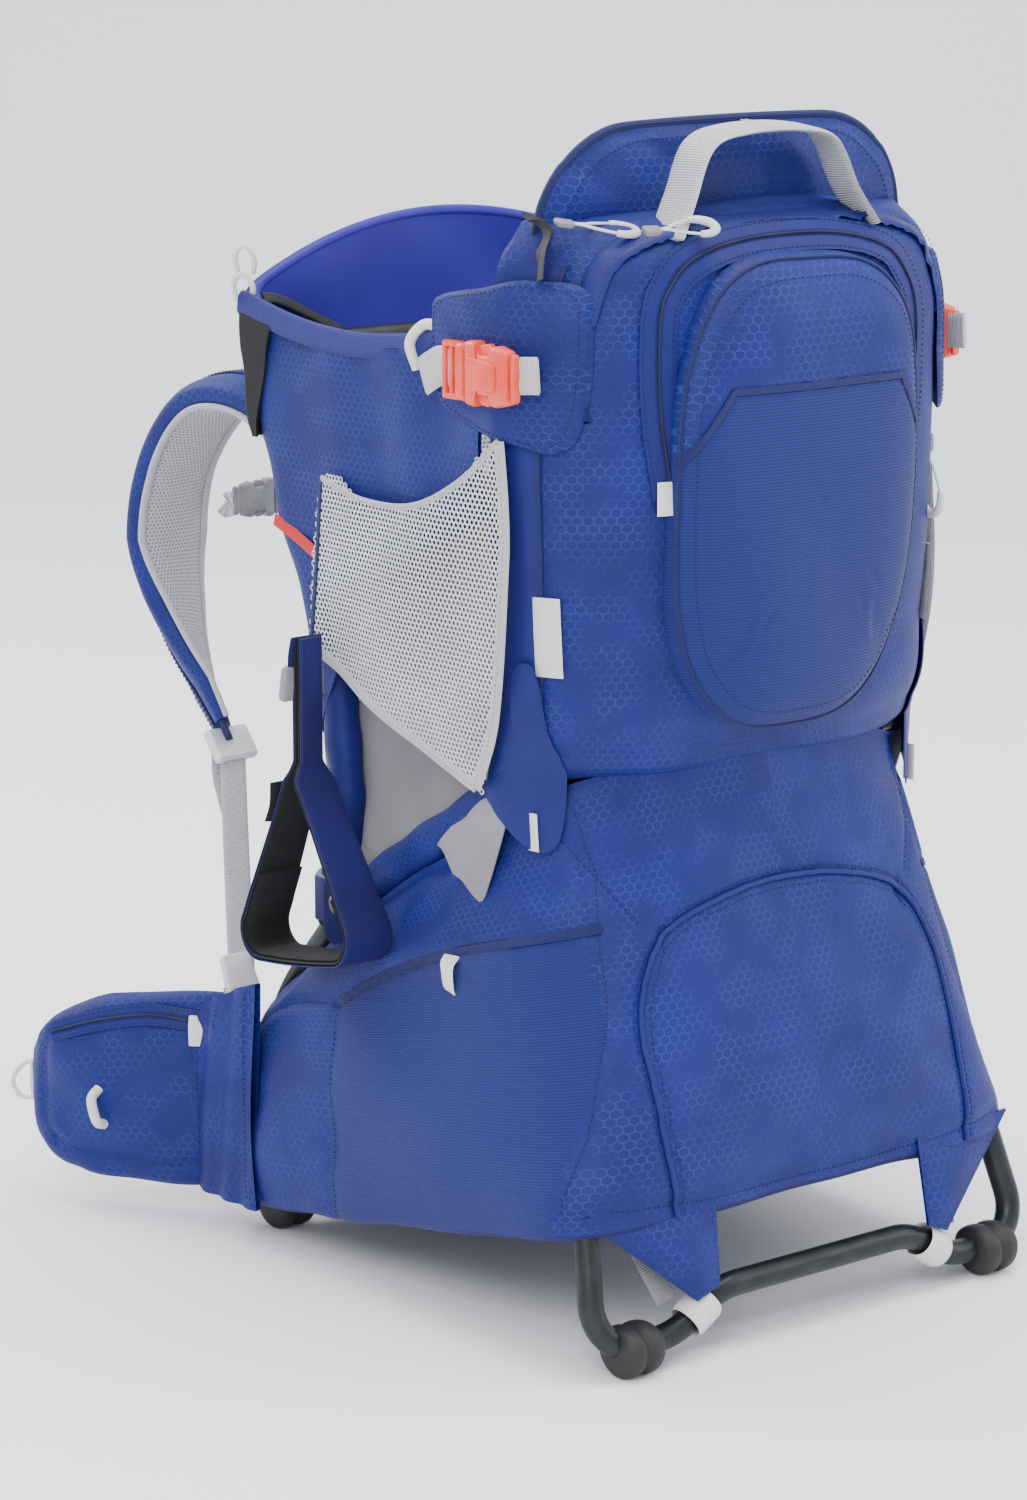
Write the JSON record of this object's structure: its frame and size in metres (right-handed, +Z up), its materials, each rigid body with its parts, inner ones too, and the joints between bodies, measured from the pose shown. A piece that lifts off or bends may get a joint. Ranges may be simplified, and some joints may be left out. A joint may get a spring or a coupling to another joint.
{
  "type": "baby carrier backpack",
  "caption": "Framed child carrier backpack with an open cockpit, padded harness and hipbelt, storage packs and a fold-out kickstand.",
  "frame": {"origin": "on the ground, under the middle of the whole box", "axes": "+Y the way the wearer faces, -Y the rear pockets, -X the wearer's left, +Z up"},
  "size_m": [0.49, 0.5578, 0.732],
  "materials": {
    "frame_tube": "grey anodised drawn tube, satin",
    "rubber": "moulded black rubber",
    "moulded_dark": "dark blue moulded bracket under fabric",
    "steel": "plain steel",
    "buckle_red": "red-orange moulded acetal",
    "buckle_pale": "pale grey moulded acetal",
    "webbing_pale": "pale grey woven webbing and cord",
    "mesh": "pale grey open stretch mesh",
    "lining_grey": "grey woven lining over foam",
    "fabric_dark_blue": "dark blue woven nylon",
    "fabric_blue": "royal blue ripstop nylon with a small embossed pattern"
  },
  "bodies": {
    "carrier": {"back_panel": "lining_grey", "child_buckle_socket": "buckle_pale", "child_strap_left": "fabric_dark_blue", "child_strap_right": "fabric_dark_blue", "cockpit_buckle_left_socket": "buckle_red", "cockpit_buckle_right_socket": "buckle_red", "cockpit_wall": "fabric_blue", "frame_bracket_left": "moulded_dark", "frame_bracket_right": "moulded_dark", "frame_foot_left": "rubber", "frame_foot_right": "rubber", "frame_rivet_left": "steel", "frame_rivet_right": "steel", "headrest": "fabric_blue", "kickstand_pin_left": "steel", "kickstand_pin_right": "steel", "lower_pack": "fabric_blue", "lower_web_left": "webbing_pale", "lower_web_right": "webbing_pale", "main_frame_tube": "frame_tube", "mesh_pocket_left": "mesh", "mesh_pocket_right": "mesh", "rear_hoop_tube": "frame_tube", "rear_pocket": "fabric_blue", "seat_back": "lining_grey", "seat_saddle": "lining_grey", "upper_pack": "fabric_blue"},
    "kickstand": {"kickstand_tube": "frame_tube", "kickstand_foot_left": "rubber", "kickstand_foot_right": "rubber", "kickstand_lug_left": "rubber", "kickstand_lug_right": "rubber", "kickstand_strap_left": "webbing_pale", "kickstand_strap_right": "webbing_pale"},
    "harness": {"harness_yoke": "fabric_dark_blue", "shoulder_strap_left": "fabric_blue", "shoulder_strap_right": "fabric_blue", "strap_lock_left": "buckle_pale", "strap_lock_right": "buckle_pale", "sternum_buckle_socket": "buckle_pale", "sternum_web_left": "webbing_pale", "sternum_web_right": "webbing_pale"},
    "sternum_plug": {"sternum_buckle_plug": "rubber"},
    "child_buckle_plug": {"child_buckle_plug": "rubber"},
    "grab_handle": {"grab_handle": "webbing_pale"},
    "hipbelt_left": {"hipbelt_wing_left": "fabric_blue", "hipbelt_web_left": "webbing_pale", "hipbelt_socket": "buckle_pale"},
    "hipbelt_right": {"hipbelt_wing_right": "fabric_blue", "hipbelt_web_right": "webbing_pale", "hipbelt_plug": "rubber"},
    "stirrup_left": {"stirrup_left": "fabric_dark_blue"},
    "stirrup_right": {"stirrup_right": "fabric_dark_blue"},
    "cockpit_plug_left": {"cockpit_buckle_left_plug": "rubber"},
    "cockpit_plug_right": {"cockpit_buckle_right_plug": "rubber"},
    "zip_pull_top_left": {"zip_pull_top_left": "webbing_pale"},
    "zip_pull_top_middle": {"zip_pull_top_middle": "webbing_pale"},
    "zip_pull_side_right": {"zip_pull_side_right": "webbing_pale"},
    "zip_pull_lower": {"zip_pull_lower": "webbing_pale"}
  },
  "joints": [
    {"name": "kickstand_fold", "type": "hinge", "parent": "carrier", "child": "kickstand", "pos_m": [0, -0.16039, 0.345], "axis": [1, 0, 0], "range_deg": [0, 50], "deforming": ["lower_pack"]},
    {"name": "harness_height", "type": "slide", "parent": "carrier", "child": "harness", "axis": [0, 0.3766, 0.9264], "range_m": [0, 0.05], "deforming": ["lower_web_left", "lower_web_right"]},
    {"name": "sternum_release", "type": "slide", "parent": "harness", "child": "sternum_plug", "axis": [1, 0, 0], "range_m": [0, 0.025], "deforming": ["sternum_web_right"]},
    {"name": "child_buckle_release", "type": "slide", "parent": "carrier", "child": "child_buckle_plug", "axis": [0, 0, 1], "range_m": [0, 0.02]},
    {"name": "grab_handle_swing", "type": "hinge", "parent": "carrier", "child": "grab_handle", "pos_m": [0, -0.20039, 0.671], "axis": [1, 0, 0], "range_deg": [-8, 22]},
    {"name": "hipbelt_left_wrap", "type": "hinge", "parent": "carrier", "child": "hipbelt_left", "pos_m": [-0.165, 0.11811, 0.0875], "axis": [0, 0, 1], "range_deg": [-40, 8]},
    {"name": "hipbelt_right_wrap", "type": "hinge", "parent": "carrier", "child": "hipbelt_right", "pos_m": [0.165, 0.11811, 0.0875], "axis": [0, 0, 1], "range_deg": [-8, 40]},
    {"name": "stirrup_left_swing", "type": "hinge", "parent": "carrier", "child": "stirrup_left", "pos_m": [-0.1925, 0.00161, 0.415], "axis": [1, 0, 0], "range_deg": [-30, 30]},
    {"name": "stirrup_right_swing", "type": "hinge", "parent": "carrier", "child": "stirrup_right", "pos_m": [0.1925, 0.00161, 0.415], "axis": [1, 0, 0], "range_deg": [-30, 30]},
    {"name": "cockpit_left_release", "type": "slide", "parent": "carrier", "child": "cockpit_plug_left", "axis": [0, 1, 0], "range_m": [0, 0.03]},
    {"name": "cockpit_right_release", "type": "slide", "parent": "carrier", "child": "cockpit_plug_right", "axis": [0, 1, 0], "range_m": [0, 0.03]},
    {"name": "zip_pull_top_left_flip", "type": "hinge", "parent": "carrier", "child": "zip_pull_top_left", "pos_m": [-0.138, -0.18639, 0.678], "axis": [-0.3162, -0.9487, 0], "range_deg": [0, 90]},
    {"name": "zip_pull_top_middle_flip", "type": "hinge", "parent": "carrier", "child": "zip_pull_top_middle", "pos_m": [-0.104, -0.22439, 0.675], "axis": [-0.0526, -0.9986, 0], "range_deg": [0, 90]},
    {"name": "zip_pull_side_right_swing", "type": "hinge", "parent": "carrier", "child": "zip_pull_side_right", "pos_m": [0.168, -0.19639, 0.525], "axis": [0, -1, 0], "range_deg": [0, 80]},
    {"name": "zip_pull_lower_swing", "type": "hinge", "parent": "carrier", "child": "zip_pull_lower", "pos_m": [0.14, -0.24289, 0.118], "axis": [-1, 0, 0], "range_deg": [0, 80]}
  ]
}
